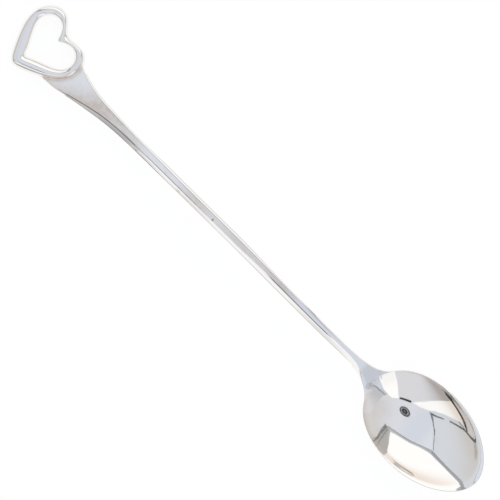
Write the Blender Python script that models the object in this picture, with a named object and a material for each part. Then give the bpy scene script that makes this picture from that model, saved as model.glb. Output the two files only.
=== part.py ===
# Baby spoon: a struck bowl, a forged stem and a cast open-heart loop, hard-soldered end to end.
# Metres, +Z up. The spoon lies on its back: +X runs from the loop to the bowl's tip.
# The origin is on the table under the middle of the spoon's length.
import math

import bmesh
import bpy
import numpy as np
from mathutils import Vector
from mathutils.geometry import interpolate_bezier

OVERALL_LENGTH = 0.146

# Bowl
BOWL_WIDTH = 0.0213
BOWL_TIP_REACH = 0.0166        # widest place to the tip
BOWL_BACK_REACH = 0.0142       # widest place back to the shoulders
SHOULDER_WIDTH = 0.0101
SHOULDER_SLOPE = math.radians(55.6)
TIP_FULLNESS = 0.52            # curve handles, as shares of the reach that they span
TIP_ROUNDNESS = 0.495
BACK_FULLNESS = 0.62
SHOULDER_PULL = 0.19
NECK_SWEEP = 0.67
BOWL_DEPTH = 0.0042            # rim to the lowest point of the hollow
BOWL_WALL = 0.0012
BOWL_TIP_RISE = 0.0015
BOWL_TIP_SLOPE = 0.10          # of the rim, seen from the side
RIM_LAND = 0.0008              # flat lip between the hollow and the rim's edge
RIM_EDGE = 0.0005              # height of the rounded rim
REST_FLAT_DEPTH = 0.00025      # worn flat under the bowl

# Neck and stem
NECK_LENGTH = 0.0112           # shoulders back to the plain stem
NECK_RISE = 0.0009             # rim at the shoulders, above the rim at the bowl's sides
NECK_SLOPE = -0.10
HEEL_LENGTH = 0.0070           # the stem's bar fades out this far under the bowl
HEEL_WIDTH = 0.0070
STEM_WIDTH = 0.0023
STEM_THICKNESS = 0.0025
STEM_CROWN_HEIGHT = 0.0084
STEM_CROWN_BACK = 0.0330       # shoulders back to the highest place of the stem
FACET_WIDTH = 0.0011           # sloping facet beside the ridge
FACET_DROP = 0.0013
EDGE_ROUND = 0.00025

# Flare at the loop
FLARE_WIDTH = 0.0089
FLARE_EASE = 0.0090            # how slowly the flare narrows to the stem
FLARE_FULL_BACK = 0.0026       # full width, behind the loop's nearest side
FLARE_HEIGHT = 0.0024
FLARE_THICKNESS = 0.0020
FLARE_INTO_LOOP = 0.0055       # how far the flare is laid out past the loop's side, before coping
FACET_RUN_IN = 0.0080          # the facet widens over this length of the flare

# Heart loop, measured from its middle
LOOP_TURN = math.radians(69)   # direction of the cleft, from +X
LOOP_HALF_WIDTH = 0.0087
LOOP_TO_TOP = 0.0076
LOOP_TO_POINT = 0.0083
LOOP_THICKNESS = 0.0030
LOOP_OFFSET = 0.0009           # middle of the loop, to +Y of the stem's axis
RIM_WIDTH = 0.0024
POINT_WIDTH = 0.0036           # metal at the heart's point
TOP_WIDTH = 0.0021
BACK_FLAT_DEPTH = 0.00025      # flat filed on the loop's back
SECTION_POWER = 0.8            # 1 is an oval rim, less is squarer
CLEFT_INNER = 1.0              # 1 is the full cleft of a textbook heart
CLEFT_OUTER = 0.62
ROUND_INNER = 0.22             # 1/3 is a sharp cleft
ROUND_OUTER = 0.12

# Soldered joints
SOLDER_GAP = 0.0003
SOLDER_FILM = 0.0002
SOLDER_INSET = 0.00012         # solder lies a little under the polished surface
SCARF_BACK = 0.0075            # shoulders back to the scarf's middle
SCARF_ANGLE = math.radians(50)

# Facets
TOP_STEPS = 14
BELLY_STEPS = 18
STEM_STATIONS = 34
NECK_STATIONS = 10
BACK_STATIONS = 12
FRONT_STATIONS = 18
LOOP_STATIONS = 84
LOOP_SIDES = 18

# Places along the spoon
TIP_X = OVERALL_LENGTH / 2
LOOP_END_X = -OVERALL_LENGTH / 2
WIDEST_X = TIP_X - BOWL_TIP_REACH
SHOULDER_X = WIDEST_X - BOWL_BACK_REACH
NECK_X = SHOULDER_X - NECK_LENGTH
CROWN_X = SHOULDER_X - STEM_CROWN_BACK
RIM_HEIGHT = BOWL_DEPTH + BOWL_WALL - REST_FLAT_DEPTH


def clear_scene():
    for item in list(bpy.data.objects):
        bpy.data.objects.remove(item, do_unlink=True)


def smooth(x, start, end):
    """0 before start, 1 after end, easing in and out between them."""
    t = np.clip((x - start) / (end - start), 0.0, 1.0)
    return t * t * (3 - 2 * t)


def hermite(x, knots):
    """Height at x on a smooth curve through (place, height, slope) knots."""
    places = np.array([knot[0] for knot in knots])
    i = np.clip(np.searchsorted(places, x) - 1, 0, len(knots) - 2)
    x0, z0, m0 = np.array(knots)[i].T
    x1, z1, m1 = np.array(knots)[i + 1].T
    span = x1 - x0
    t = (x - x0) / span
    start = (1 + 2 * t) * (1 - t) ** 2 * z0 + t * (1 - t) ** 2 * span * m0
    end = t ** 2 * (3 - 2 * t) * z1 + t ** 2 * (t - 1) * span * m1
    return start + end


def bezier(points, steps):
    corners = [Vector((x, y, 0.0)) for x, y in points]
    return np.array([(p.x, p.y) for p in interpolate_bezier(*corners, steps)])


# Heart loop


def heart(half_width, to_top, to_point, cleft, roundness):
    """Textbook heart curve: sines across, a sum of cosines along, fitted to the sizes given."""
    t = np.linspace(0.0, 2 * math.pi, LOOP_STATIONS, endpoint=False)
    across = half_width * (np.sin(t) - roundness * np.sin(3 * t)) / (1 + roundness)
    ripple = 5 * np.cos(2 * t) + 2 * np.cos(3 * t) + np.cos(4 * t)
    along = 13 * np.cos(t) - cleft * ripple
    along = (along - along.min()) / (along.max() - along.min())
    along = along * (to_top + to_point) - to_point
    return across, along


def turned(across, along):
    """Heart coordinates to directions of the spoon: the cleft points along LOOP_TURN."""
    x = across * math.sin(LOOP_TURN) + along * math.cos(LOOP_TURN)
    y = -across * math.cos(LOOP_TURN) + along * math.sin(LOOP_TURN)
    return np.column_stack((x, y))


def outer_heart(growth=0.0):
    curve = heart(
        LOOP_HALF_WIDTH + growth,
        LOOP_TO_TOP + growth,
        LOOP_TO_POINT + growth,
        CLEFT_OUTER,
        ROUND_OUTER,
    )
    return turned(*curve)


def inner_heart():
    curve = heart(
        LOOP_HALF_WIDTH - RIM_WIDTH,
        LOOP_TO_TOP - TOP_WIDTH,
        LOOP_TO_POINT - POINT_WIDTH,
        CLEFT_INNER,
        ROUND_INNER,
    )
    return turned(*curve)


LOOP_MIDDLE = np.array((LOOP_END_X - outer_heart()[:, 0].min(), LOOP_OFFSET))
LOOP_SIDE_X = LOOP_MIDDLE[0] + outer_heart()[:, 0].max()
FLARE_X = LOOP_SIDE_X - FLARE_INTO_LOOP


# Spoon blank: flare, stem, neck and bowl as one lofted form, cut into pieces below


def outline():
    """Stations along the blank and the half-width at each, from the flare's end to the tip."""
    stem_x = FLARE_X + (NECK_X - FLARE_X) * np.linspace(0.0, 1.0, STEM_STATIONS) ** 1.5
    past = np.maximum(stem_x - (LOOP_SIDE_X - FLARE_FULL_BACK), 0.0) / FLARE_EASE
    stem_half = STEM_WIDTH / 2 + (FLARE_WIDTH - STEM_WIDTH) / 2 / (1 + past ** 2) ** 1.5
    stem = np.column_stack((stem_x, stem_half))
    slope = np.array((math.cos(SHOULDER_SLOPE), math.sin(SHOULDER_SLOPE)))
    at_neck = np.array((NECK_X, stem_half[-1]))
    at_shoulder = np.array((SHOULDER_X, SHOULDER_WIDTH / 2))
    at_widest = np.array((WIDEST_X, BOWL_WIDTH / 2))
    at_tip = np.array((TIP_X, 0.0))
    neck_handles = (
        at_neck + (NECK_LENGTH * NECK_SWEEP, 0.0),
        at_shoulder - slope * NECK_LENGTH * SHOULDER_PULL,
    )
    back_handles = (
        at_shoulder + slope * BOWL_BACK_REACH * SHOULDER_PULL,
        at_widest - (BOWL_BACK_REACH * BACK_FULLNESS, 0.0),
    )
    front_handles = (
        at_widest + (BOWL_TIP_REACH * TIP_FULLNESS, 0.0),
        at_tip + (0.0, BOWL_WIDTH / 2 * TIP_ROUNDNESS),
    )
    neck = bezier((at_neck, *neck_handles, at_shoulder), NECK_STATIONS)
    back = bezier((at_shoulder, *back_handles, at_widest), BACK_STATIONS)
    front = bezier((at_widest, *front_handles, at_tip), FRONT_STATIONS)
    return np.vstack((stem, neck[1:], back[1:], front[1:]))


def top_height(x):
    """Height of the ridge along the stem, and of the rim along the bowl."""
    knots = (
        (FLARE_X, FLARE_HEIGHT, 0.0),
        (CROWN_X, STEM_CROWN_HEIGHT, 0.0),
        (SHOULDER_X, RIM_HEIGHT + NECK_RISE, NECK_SLOPE),
        (WIDEST_X, RIM_HEIGHT, 0.0),
        (TIP_X, RIM_HEIGHT + BOWL_TIP_RISE, BOWL_TIP_SLOPE),
    )
    return hermite(x, knots)


def dish(depth, share):
    """Depth of a ball-shaped hollow: share is 0 at its rim and 1 in its middle."""
    half = BOWL_WIDTH / 2
    rise = (half ** 2 - depth ** 2) / (2 * depth)
    return np.sqrt(rise ** 2 + half ** 2 * share) - rise


def blank_sections(inset=0.0):
    """One closed ring of points for each station, inset by the given amount all round."""
    x, half = outline().T
    half = np.maximum(half - inset, 0.0)[:, None]
    top = (top_height(x) - inset)[:, None]
    x = x[:, None]
    bowl_half = BOWL_WIDTH / 2
    in_neck = smooth(x, NECK_X, SHOULDER_X)
    in_bowl = smooth(x, NECK_X, (NECK_X + SHOULDER_X) / 2)
    in_flare = smooth(x, LOOP_SIDE_X - FLARE_FULL_BACK / 2, LOOP_SIDE_X + FACET_RUN_IN)
    on_stem = in_flare * (1 - in_bowl)

    # Top: a ridge on the left, the flat or the hollow, then the right edge
    edge_round = np.minimum(EDGE_ROUND, half / 2)
    left = edge_round + (FACET_WIDTH - EDGE_ROUND) * on_stem - half
    right = half - edge_round
    land = 1 - (1 - RIM_LAND / bowl_half) ** 2
    hollow_half = np.sqrt(np.maximum((half / bowl_half) ** 2 - land, 0.0)) * bowl_half * (x > NECK_X)
    spread = np.sin(np.linspace(-math.pi / 2, math.pi / 2, TOP_STEPS + 1))[None, :]
    hollow_y = (left + right) / 2 + hollow_half * spread
    share = (hollow_half / bowl_half) ** 2 * (1 - spread ** 2) / (1 - land)
    top_y = np.hstack((left, hollow_y, right))
    top_z = np.hstack((top, top - dish(BOWL_DEPTH, share), top))

    # Belly: from the right side round to the left, a bar that fades out under the bowl
    turn = np.linspace(0.0, math.pi, BELLY_STEPS + 1)[None, :]
    belly_y = half * np.cos(turn)
    rightward = (1 + np.cos(turn)) / 2
    right_drop = EDGE_ROUND + (RIM_EDGE - EDGE_ROUND) * in_bowl
    left_drop = right_drop + (FACET_DROP - EDGE_ROUND) * on_stem
    side_z = top - right_drop * rightward - left_drop * (1 - rightward)
    thicker = smooth(x, LOOP_SIDE_X, LOOP_SIDE_X + 3 * FLARE_EASE)
    thick = FLARE_THICKNESS + (STEM_THICKNESS - FLARE_THICKNESS) * thicker - 2 * inset
    fade = smooth(x, (NECK_X + SHOULDER_X) / 2, SHOULDER_X + HEEL_LENGTH)
    bar = (thick - left_drop) * (1 - fade)
    bar_half = half + (np.minimum(half, HEEL_WIDTH / 2) - half) * in_bowl
    across = np.clip(belly_y / np.maximum(bar_half, EDGE_ROUND / 2), -1.0, 1.0)
    bar_z = bar * (1 - across ** 2) ** (0.5 + in_neck)
    share = (half / bowl_half) ** 2 * np.sin(turn) ** 2
    bowl_z = dish(BOWL_DEPTH + BOWL_WALL - RIM_EDGE, share) * in_bowl
    belly_z = np.maximum(side_z - bar_z - bowl_z, 0.0)

    y = np.hstack((top_y, belly_y))
    z = np.hstack((top_z, belly_z))
    return np.dstack((np.broadcast_to(x, y.shape), y, z))


def loft(rings, closed=False):
    """Mesh through rings of points; an open row of rings is capped at both ends."""
    bm = bmesh.new()
    rows = [[bm.verts.new(point) for point in ring] for ring in rings]
    count = len(rows)
    sides = len(rows[0])
    for i in range(count if closed else count - 1):
        here = rows[i]
        there = rows[(i + 1) % count]
        for j in range(sides):
            k = (j + 1) % sides
            bm.faces.new((here[j], there[j], there[k], here[k]))
    if not closed:
        bm.faces.new(rows[0])
        bm.faces.new(rows[-1][::-1])
    bmesh.ops.remove_doubles(bm, verts=bm.verts, dist=1e-7)
    bmesh.ops.dissolve_degenerate(bm, dist=1e-7, edges=bm.edges)
    bmesh.ops.recalc_face_normals(bm, faces=bm.faces)
    return bm


def blank(inset=0.0):
    return loft(blank_sections(inset))


# The scarf joint is a slanting plane across the neck


def scarf_plane(shift):
    """A point and a normal; shift moves the plane along its normal, towards the bowl."""
    x = SHOULDER_X - SCARF_BACK
    normal = Vector((math.sin(SCARF_ANGLE), 0.0, math.cos(SCARF_ANGLE)))
    middle = Vector((x, 0.0, float(top_height(np.array(x))) - STEM_THICKNESS / 2))
    return middle + normal * shift, normal


def cut(bm, shift, keep_bowl_side):
    """Cut a mesh along the scarf, keep one side and close the cut."""
    point, normal = scarf_plane(shift)
    parts = bm.verts[:] + bm.edges[:] + bm.faces[:]
    result = bmesh.ops.bisect_plane(
        bm,
        geom=parts,
        plane_co=point,
        plane_no=normal,
        clear_inner=keep_bowl_side,
        clear_outer=not keep_bowl_side,
    )
    rim = [item for item in result["geom_cut"] if isinstance(item, bmesh.types.BMEdge)]
    bmesh.ops.holes_fill(bm, edges=rim, sides=0)
    bmesh.ops.recalc_face_normals(bm, faces=bm.faces)


def add_object(name, bm, material=None):
    mesh = bpy.data.meshes.new(name)
    bm.to_mesh(mesh)
    bm.free()
    item = bpy.data.objects.new(name, mesh)
    bpy.context.scene.collection.objects.link(item)
    if material:
        mesh.materials.append(material)
        mesh.shade_smooth()
        mesh.set_sharp_from_angle(angle=math.radians(35))
    return item


def metal(name, colour, roughness):
    material = bpy.data.materials.new(name)
    material.use_nodes = True
    shader = material.node_tree.nodes["Principled BSDF"]
    shader.inputs["Base Color"].default_value = (*colour, 1.0)
    shader.inputs["Metallic"].default_value = 1.0
    shader.inputs["Roughness"].default_value = roughness
    return material


def heart_cutter(name, growth):
    """Upright block of the loop's outer outline, grown by a clearance."""
    outline_points = outer_heart(growth) + LOOP_MIDDLE
    heights = (-LOOP_THICKNESS, 3 * LOOP_THICKNESS)
    rings = [[(x, y, z) for x, y in outline_points] for z in heights]
    cutter = add_object(name, loft(rings))
    cutter.hide_render = True
    cutter.display_type = "WIRE"
    return cutter


def boolean(item, operation, cutter):
    modifier = item.modifiers.new(cutter.name, "BOOLEAN")
    modifier.operation = operation
    modifier.solver = "EXACT"
    modifier.object = cutter


def build_bowl(silver):
    bm = blank()
    cut(bm, SOLDER_GAP / 2, keep_bowl_side=True)
    return add_object("bowl", bm, silver)


def build_stem(silver):
    bm = blank()
    cut(bm, -SOLDER_GAP / 2, keep_bowl_side=False)
    stem = add_object("stem", bm, silver)
    boolean(stem, "DIFFERENCE", heart_cutter("cope_cutter", SOLDER_GAP))
    return stem


def build_heart_loop(silver):
    """Round-sided rim between the inner and the outer heart, filed flat on its back."""
    inner = inner_heart() + LOOP_MIDDLE
    outer = outer_heart() + LOOP_MIDDLE
    turn = np.linspace(0.0, 2 * math.pi, LOOP_SIDES, endpoint=False) + math.pi / LOOP_SIDES
    reach = (1 + np.sign(np.cos(turn)) * np.abs(np.cos(turn)) ** SECTION_POWER) / 2
    lift = np.sign(np.sin(turn)) * np.abs(np.sin(turn)) ** SECTION_POWER
    half = (LOOP_THICKNESS + BACK_FLAT_DEPTH) / 2
    height = np.maximum(LOOP_THICKNESS - half + half * lift, 0.0)
    rings = []
    for start, end in zip(inner, outer):
        flat = start + (end - start) * reach[:, None]
        rings.append(np.column_stack((flat, height)))
    return add_object("heart_loop", loft(rings, closed=True), silver)


def build_bowl_seam(solder):
    bm = blank(SOLDER_INSET)
    cut(bm, -SOLDER_FILM / 2, keep_bowl_side=True)
    cut(bm, SOLDER_FILM / 2, keep_bowl_side=False)
    return add_object("bowl_solder_seam", bm, solder)


def build_loop_seam(solder):
    seam = add_object("loop_solder_seam", blank(SOLDER_INSET), solder)
    side_gap = (SOLDER_GAP - SOLDER_FILM) / 2
    boolean(seam, "INTERSECT", heart_cutter("seam_outer_cutter", SOLDER_GAP - side_gap))
    boolean(seam, "DIFFERENCE", heart_cutter("seam_inner_cutter", side_gap))
    return seam


clear_scene()
polished_silver = metal("polished_silver", (0.93, 0.92, 0.90), 0.12)
hard_solder = metal("hard_solder", (0.86, 0.84, 0.79), 0.3)
build_bowl(polished_silver)
build_stem(polished_silver)
build_heart_loop(polished_silver)
build_bowl_seam(hard_solder)
build_loop_seam(hard_solder)
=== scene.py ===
import math

import bmesh
import bpy
import numpy as np
from mathutils import Matrix, Vector


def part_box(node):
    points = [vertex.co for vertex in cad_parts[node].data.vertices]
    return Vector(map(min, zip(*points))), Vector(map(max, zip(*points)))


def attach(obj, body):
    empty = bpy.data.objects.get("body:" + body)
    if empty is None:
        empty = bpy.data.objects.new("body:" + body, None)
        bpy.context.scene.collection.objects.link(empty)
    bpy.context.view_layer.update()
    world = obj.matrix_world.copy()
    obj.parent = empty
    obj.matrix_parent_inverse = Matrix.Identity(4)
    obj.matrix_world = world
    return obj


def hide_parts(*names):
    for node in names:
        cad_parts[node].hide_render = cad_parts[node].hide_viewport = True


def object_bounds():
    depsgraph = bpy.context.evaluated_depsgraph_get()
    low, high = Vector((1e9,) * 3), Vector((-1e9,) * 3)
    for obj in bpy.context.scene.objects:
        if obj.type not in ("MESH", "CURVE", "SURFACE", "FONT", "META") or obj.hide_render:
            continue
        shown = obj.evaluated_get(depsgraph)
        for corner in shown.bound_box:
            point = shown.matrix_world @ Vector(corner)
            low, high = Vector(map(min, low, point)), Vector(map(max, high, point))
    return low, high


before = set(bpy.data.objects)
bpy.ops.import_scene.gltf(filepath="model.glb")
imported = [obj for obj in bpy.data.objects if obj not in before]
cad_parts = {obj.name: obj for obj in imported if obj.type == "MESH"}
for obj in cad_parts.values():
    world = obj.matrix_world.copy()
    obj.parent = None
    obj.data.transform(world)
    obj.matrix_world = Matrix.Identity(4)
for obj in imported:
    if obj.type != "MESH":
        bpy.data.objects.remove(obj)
cadLow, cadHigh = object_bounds()
mm = 0.001
print("frame loaded, nodes:", ", ".join(sorted(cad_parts)))

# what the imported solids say: where the bowl's tip, the loop and the joints are
bowlLow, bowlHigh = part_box("bowl")
loopLow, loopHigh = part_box("heart_loop")
scarfLow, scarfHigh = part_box("bowl_solder_seam")

# the spoon's run from the flare to the tip, sizes in metres
spoonForm = {
    "tipX": bowlHigh.x,
    "bowlHalf": (bowlHigh.y - bowlLow.y) / 2,
    "tipReach": 16.6 * mm,  # widest place to the tip
    "backReach": 14.2 * mm,  # widest place back to the shoulders
    "shoulderHalf": 5.05 * mm,
    "shoulderSlope": math.radians(55.6),
    "tipFullness": 0.52,  # curve handles, as shares of the reach that they span
    "tipRoundness": 0.495,
    "backFullness": 0.62,
    "shoulderPull": 0.19,
    "neckSweep": 0.67,
    "neckLength": 11.2 * mm,
    "depth": 4.2 * mm,
    "wall": 1.2 * mm,
    "restFlat": 0.25 * mm,
    "rimLand": (0.1 * mm, 0.8 * mm),  # flat lip inside the rim, at the shoulders and at the tip
    "landRun": (47 * mm, 67 * mm),  # it widens between these places
    "neckLand": 0.12,  # more of it on the neck's flat face,
    "hollowStart": (39.0 * mm, 42.2 * mm),  # which ends here,
    "hollowSlant": (0.32, 0.8 * mm),  # earlier the further left; over how far this sets in
    "neckCrown": (36.0, -0.35 * mm),  # fall of the neck's right side per distance squared, from this line on
    "crownEnd": (43.4 * mm, 45.0 * mm),  # it dies away here,
    "crownSlant": 1.9,  # earlier the further right
    "rimSoftness": (0.008, 0.045),  # how gently the hollow starts, at the shoulders and at the tip
    "rimBevel": 0.42,  # inward slope of the lip at the tip's left,
    "rimBevelIn": (-2 * mm, 3 * mm),  # which sets in between these distances to the left
    "rimEdge": 0.5 * mm,
    "tipRise": 1.5 * mm,
    "tipSlope": 0.10,
    "neckRise": 0.9 * mm,
    "neckSlope": -0.10,
    "heelLength": 7.0 * mm,
    "heelHalf": 3.5 * mm,
    "stemHalf": 1.15 * mm,
    "stemThick": 2.5 * mm,
    "crownHeight": cadHigh.z,
    "crownBack": 33.0 * mm,
    "facet": (0.45 * mm, 1.1 * mm, 0.85 * mm, 1.15 * mm),  # width by the loop, past the flare, along, at the neck
    "facetSteps": ((-57 * mm, -44 * mm), (-40 * mm, -31 * mm), (-5 * mm, 9 * mm)),  # it changes between these places
    "facetSlope": (0.93, 1.18),  # at the flare and further on
    "facetRun": (-38 * mm, -22 * mm),
    "facetEnd": (34.5 * mm, 40 * mm),
    "facetFlats": (0.25, 0.2),  # shares beside the ridge and the outer edge that lie flatter:
    "flareFlat": (0.07, (-38 * mm, -28 * mm)),  # by this up to the flare's end,
    "neckFlat": (0.26, (2 * mm, 10 * mm), (24 * mm, 31 * mm)),  # by this before the neck,
    "outerFlat": (0.2, (-36 * mm, -30 * mm)),  # and the outer one by this past the flare
    "bevelSlope": (1.15, 0.92),  # of the right edge, and at its lowest near the neck
    "bevelLow": (20 * mm, 5 * mm),  # where that is, and how far around
    "bevelFlats": (0.25, 0.2),  # shares beside the top and the outer edge,
    "bevelFlatSlope": 0.89,  # which lie no steeper than this
    "bevelExtra": 0.35 * mm,  # the bevel is this much wider along the stem,
    "extraRun": ((-38 * mm, -24 * mm), (-4 * mm, 14 * mm)),  # from the first step to the second
    "bevelEnd": (28 * mm, 33 * mm),
    "faceLean": 0.08 * mm,  # the top face falls this much from the ridge to the right edge
    "edgeRound": (0.45 * mm, 0.25 * mm),  # at the flare and further on
    "edgeRun": (-50 * mm, -26 * mm),
    "swayBells": ((-50 * mm, 6 * mm, -0.33 * mm), (33 * mm, 7 * mm, 0.2 * mm)),  # place, width, how far right
    "swaySteps": ((-30 * mm, 0.0, 0.2 * mm), (36 * mm, 45 * mm, -0.2 * mm)),  # start, end, how far
    "flareHalf": 4.45 * mm,
    "flareEase": 7.5 * mm,
    "flareFullBack": 1.0 * mm,
    "flareSoft": 1.2 * mm,
    "flareHeight": 2.4 * mm,
    "flareThick": 2.0 * mm,
    "flareIntoLoop": 5.5 * mm,
    "facetRunIn": 2.0 * mm,
}
widestX = spoonForm["tipX"] - spoonForm["tipReach"]
shoulderX = widestX - spoonForm["backReach"]
neckX = shoulderX - spoonForm["neckLength"]
loopSideX = loopHigh.x
flareX = loopSideX - spoonForm["flareIntoLoop"]
rimHeight = spoonForm["depth"] + spoonForm["wall"] - spoonForm["restFlat"]


# smooth step: 0 before start, 1 after end, three t squared minus two t cubed between
def easeBetween(x, start, end):
    t = np.clip((x - start) / (end - start), 0.0, 1.0)
    return t * t * (3 - 2 * t)


# a value between two: the first plus a share of the difference
def mixed(pair, share):
    return pair[0] + (pair[1] - pair[0]) * share


# angles once round, the last one short of the first
def onceRound(count):
    return np.linspace(0.0, 2 * math.pi, count, endpoint=False)


# points in plan lifted to one height
def lifted(plan, height):
    return np.column_stack((plan, np.full(len(plan), height)))


# headings along a path: differences of neighbours over their length
def headings(path):
    ahead = np.gradient(path, axis=0)
    return ahead / np.linalg.norm(ahead, axis=1, keepdims=True)


# bell curve: e to the minus square of (distance over width)
def bell(x, place, width):
    return np.exp(-((x - place) / width) ** 2)


# cubic curve pulled by four corners, with the weights (1 - t) cubed to t cubed
def cubicCurve(corners, count):
    t = np.linspace(0.0, 1.0, count)[:, None]
    p = np.array(corners)
    return (1 - t) ** 3 * p[0] + 3 * (1 - t) ** 2 * t * p[1] + 3 * (1 - t) * t ** 2 * p[2] + t ** 3 * p[3]


# plan outline of neck and bowl: three cubic curves, from the plain stem round to the tip
def bowlOutline(neckCount, backCount, frontCount):
    f = spoonForm
    slope = np.array((math.cos(f["shoulderSlope"]), math.sin(f["shoulderSlope"])))
    atNeck = np.array((neckX, stemHalfWidth(neckX)))
    atShoulder = np.array((shoulderX, f["shoulderHalf"]))
    atWidest = np.array((widestX, f["bowlHalf"]))
    atTip = np.array((f["tipX"], 0.0))
    pullNeck = slope * f["neckLength"] * f["shoulderPull"]
    pullBack = slope * f["backReach"] * f["shoulderPull"]
    neck = cubicCurve(
        (atNeck, atNeck + (f["neckLength"] * f["neckSweep"], 0), atShoulder - pullNeck, atShoulder), neckCount)
    back = cubicCurve(
        (atShoulder, atShoulder + pullBack, atWidest - (f["backReach"] * f["backFullness"], 0), atWidest), backCount)
    front = cubicCurve(
        (atWidest, atWidest + (f["tipReach"] * f["tipFullness"], 0),
         atTip + (0, f["bowlHalf"] * f["tipRoundness"]), atTip), frontCount)
    return np.vstack((neck, back[1:], front[1:]))


# half-width of stem and flare: the stem's, plus the flare's dying away as e to the minus distance, which sets in
# softly as the logarithm of (1 plus e to the place)
def stemHalfWidth(x):
    f = spoonForm
    past = np.logaddexp(0.0, (x - loopSideX + f["flareFullBack"]) / f["flareSoft"]) * f["flareSoft"] / f["flareEase"]
    return f["stemHalf"] + (f["flareHalf"] - f["stemHalf"]) * np.exp(-past)


# how far the hand-forged run sways to the right: two bell curves and two smooth steps along it
def sway(x):
    bells = sum(reach * bell(x, place, width) for place, width, reach in spoonForm["swayBells"])
    return bells + sum(reach * easeBetween(x, start, end) for start, end, reach in spoonForm["swaySteps"])


# edge rounding: broad at the flare, fine further on
def edgeRound(x):
    return mixed(spoonForm["edgeRound"], easeBetween(x, *spoonForm["edgeRun"]))


# how far the right bevel reaches past the plain half-width: a plateau between two smooth steps
def bevelOver(x):
    rise, fall = spoonForm["extraRun"]
    return spoonForm["bevelExtra"] * easeBetween(x, *rise) * (1 - easeBetween(x, *fall))


# width of the left facet: four sizes along the stem, with smooth steps between them
def facetSize(x):
    sizes = spoonForm["facet"]
    changes = zip(sizes, sizes[1:], spoonForm["facetSteps"])
    return sizes[0] + sum((after - before) * easeBetween(x, *step) for before, after, step in changes)


# a bevel in three flats: the first and last shares of its width fall by parts of the even slope, the middle makes up
def threeFlats(flat, shares, first, last):
    inner, outer = shares
    middle = (1 - inner * first - outer * last) / (1 - inner - outer)
    past = np.clip(flat - inner, 0.0, 1 - inner - outer)
    return first * np.minimum(flat, inner) + middle * past + last * np.maximum(flat - 1 + outer, 0.0)


outlineTable = bowlOutline(3000, 3000, 3000)


# half-width anywhere: the stem's formula before the neck, the outline's squared width read off after it
def halfWidth(x):
    x = np.asarray(x, dtype=float)
    bowl = np.sqrt(np.maximum(np.interp(x, outlineTable[:, 0], outlineTable[:, 1] ** 2), 0.0))
    return np.where(x < neckX, stemHalfWidth(x), bowl)


# cosine of the outline's heading: one over the root of (1 plus the width's slope squared)
def headingCos(x):
    step = 0.05 * mm
    return 1 / np.sqrt(1 + ((halfWidth(x + step) - halfWidth(x - step)) / (2 * step)) ** 2)


# height of ridge and rim: cubic pieces through (place, height, slope)
def topHeight(x):
    f = spoonForm
    knots = np.array((
        (flareX, f["flareHeight"], 0.0),
        (shoulderX - f["crownBack"], f["crownHeight"], 0.0),
        (shoulderX, rimHeight + f["neckRise"], f["neckSlope"]),
        (widestX, rimHeight, 0.0),
        (f["tipX"], rimHeight + f["tipRise"], f["tipSlope"]),
    ))
    i = np.clip(np.searchsorted(knots[:, 0], x) - 1, 0, len(knots) - 2)
    x0, z0, m0 = np.moveaxis(knots[i], -1, 0)
    x1, z1, m1 = np.moveaxis(knots[i + 1], -1, 0)
    span = x1 - x0
    t = (x - x0) / span
    start = (1 + 2 * t) * (1 - t) ** 2 * z0 + t * (1 - t) ** 2 * span * m0
    return start + t ** 2 * (3 - 2 * t) * z1 + t ** 2 * (t - 1) * span * m1


# ball-shaped hollow: square root of (rise squared plus half-width squared times share), less the rise
def dishDepth(depth, share):
    half = spoonForm["bowlHalf"]
    rise = (half ** 2 - depth ** 2) / (2 * depth)
    return np.sqrt(rise ** 2 + half ** 2 * share) - rise


# how much of each form there is at x: in the neck, in the bowl, on the faceted stem, along its right bevel
def zones(x):
    f = spoonForm
    inNeck = easeBetween(x, neckX, shoulderX)
    inBowl = easeBetween(x, neckX, (neckX + shoulderX) / 2)
    pastLoop = easeBetween(x, loopSideX - f["facetRunIn"], loopSideX + f["facetRunIn"])
    onStem = pastLoop * (1 - easeBetween(x, *f["facetEnd"]))
    onBevel = pastLoop * (1 - easeBetween(x, *f["bevelEnd"]))
    return inNeck, inBowl, onStem, onBevel


# width of the facet on the left, which is the plain rounded edge off the stem
def facetWidth(x):
    plain = np.minimum(edgeRound(x), halfWidth(x) / 2)
    return plain + (facetSize(x) - edgeRound(x)) * zones(x)[2]


# upper face: level with the rim or bevelled inwards, sunk by the hollow where the share of the width passes
# the rim's land, on the stem falling from the ridge by the lean times one less (1 - place across) squared, and on
# the neck's right side by the crown times the distance squared
def upperZ(x, y):
    f = spoonForm
    half = halfWidth(x)
    share = (half ** 2 - y ** 2) / f["bowlHalf"] ** 2
    further = easeBetween(x, *f["landRun"])
    width = mixed(f["rimLand"], further)
    land = 1 - (1 - width / f["bowlHalf"]) ** 2
    slant, ease = f["hollowSlant"]
    earlier = slant * (np.sqrt(y ** 2 + ease ** 2) - y) / 2
    land = land + f["neckLand"] * (1 - easeBetween(x + earlier, *f["hollowStart"]))
    past = (share - land) / (1 - land)
    softness = mixed(f["rimSoftness"], further)
    soft = (past + np.sqrt(past ** 2 + softness ** 2)) / 2
    leftward = easeBetween(-y, *f["rimBevelIn"])
    bevel = f["rimBevel"] * leftward * further * np.clip(share, 0.0, land) * f["bowlHalf"] / 2
    left = facetWidth(x) - half
    across = np.clip((y - left) / np.maximum(half - edgeRound(x) - left, 1e-6), 0.0, 1.0)
    inNeck, _, onStem, _ = zones(x)
    lean = f["faceLean"] * (1 - (1 - across) ** 2) * onStem
    fall, line = f["neckCrown"]
    lasting = 1 - easeBetween(x + f["crownSlant"] * y, *f["crownEnd"])
    crown = fall * np.maximum(y - line, 0.0) ** 2 * inNeck * lasting
    return topHeight(x) - dishDepth(f["depth"], np.clip(soft, 0.0, 1.0)) * (x > neckX) - bevel - lean - crown


# slope of the right bevel: one value, less a bell curve near the neck
def bevelSlope(x):
    return mixed(spoonForm["bevelSlope"], bell(x, *spoonForm["bevelLow"]))


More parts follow.
